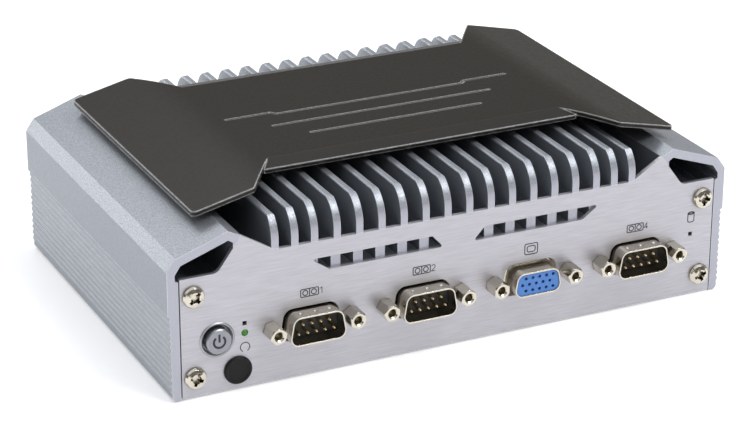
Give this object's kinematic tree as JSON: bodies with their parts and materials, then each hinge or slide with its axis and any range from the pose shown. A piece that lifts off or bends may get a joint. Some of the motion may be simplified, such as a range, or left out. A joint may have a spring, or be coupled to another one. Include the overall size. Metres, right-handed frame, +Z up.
{
  "type": "fanless industrial computer",
  "caption": "Fanless industrial computer: finned aluminium case with a folded top cover, serial and video connectors, a power button and status lamps in front.",
  "frame": {"origin": "on the resting surface, under the middle of the whole outline", "axes": "+Z up, -Y towards the front panel with the serial and video connectors, +X to the right as seen from the front"},
  "size_m": [0.1828, 0.1328, 0.0576],
  "materials": {
    "sandblasted_aluminium": "fine sand-blasted, clear anodised",
    "brushed_aluminium": "brushed across the width, clear anodised",
    "plain_aluminium": "as machined",
    "brown_coating": "fine matt powder coat, dark brown-grey",
    "sheet_steel": "zinc-plated sheet",
    "nickel": "bright nickel plating",
    "zinc_steel": "zinc-plated",
    "tinned_steel": "tin-plated shell",
    "gold": "gold-plated contact",
    "black_plastic": "glass-filled black plastic",
    "blue_plastic": "blue connector plastic",
    "green_plastic": "green header plastic",
    "button_cap": "satin, clear anodised",
    "button_ring": "satin nickel",
    "green_lens": "tinted diffusing lens",
    "dark_lens": "unlit smoke lens",
    "black_rubber": "matt soft rubber",
    "circuit_board": "green solder resist",
    "black_chip": "moulded chip body",
    "grey_pad": "soft thermal pad",
    "coin_steel": "plain steel can",
    "ferrite": "pressed ferrite"
  },
  "bodies": {
    "case": {"battery_holder": "black_plastic", "blanking_plug": "black_rubber", "board_screws": "zinc_steel", "board_standoffs": "zinc_steel", "bottom_plate": "sheet_steel", "bottom_screws": "zinc_steel", "capacitors": "coin_steel", "chassis": "sandblasted_aluminium", "coin_cell": "coin_steel", "com1_insert": "black_plastic", "com1_pins": "gold", "com1_shell": "nickel", "com2_insert": "black_plastic", "com2_pins": "gold", "com2_shell": "nickel", "com3_insert": "black_plastic", "com3_pins": "gold", "com3_shell": "nickel", "com4_insert": "black_plastic", "com4_pins": "gold", "com4_shell": "nickel", "cover_pillars": "plain_aluminium", "cover_screws": "zinc_steel", "disk_lamp": "dark_lens", "disk_lamp_holder": "black_plastic", "front_jackscrews": "nickel", "front_panel": "brushed_aluminium", "front_panel_screws": "nickel", "hdmi_socket": "tinned_steel", "hdmi_tongue": "black_plastic", "heat_spreader": "plain_aluminium", "inductors": "ferrite", "lan_jack_1": "tinned_steel", "lan_jack_2": "tinned_steel", "memory_module": "circuit_board", "memory_socket": "black_plastic", "motherboard": "circuit_board", "mounting_nuts": "zinc_steel", "power_button_bezel": "button_ring", "power_inlet": "green_plastic", "power_inlet_pins": "zinc_steel", "power_switch": "black_plastic", "processor": "black_chip", "rear_jackscrews": "nickel", "rear_panel": "brushed_aluminium", "rear_panel_screws": "nickel", "ssd_module": "circuit_board", "ssd_post": "zinc_steel", "ssd_screw": "zinc_steel", "ssd_socket": "black_plastic", "status_lamp": "green_lens", "status_lamp_holder": "black_plastic", "thermal_pad": "grey_pad", "top_cover": "brown_coating", "usb_stack_1": "tinned_steel", "usb_stack_2": "tinned_steel", "usb_tongues": "black_plastic", "vga_insert": "blue_plastic", "vga_shell": "nickel"},
    "button": {"power_button": "button_cap"}
  },
  "joints": [
    {"name": "power_button_press", "type": "slide", "parent": "case", "child": "button", "axis": [0, 1, 0], "range_m": [0, 0.0015], "stiffness_N_per_m": 400, "springref_m": -0.002}
  ]
}
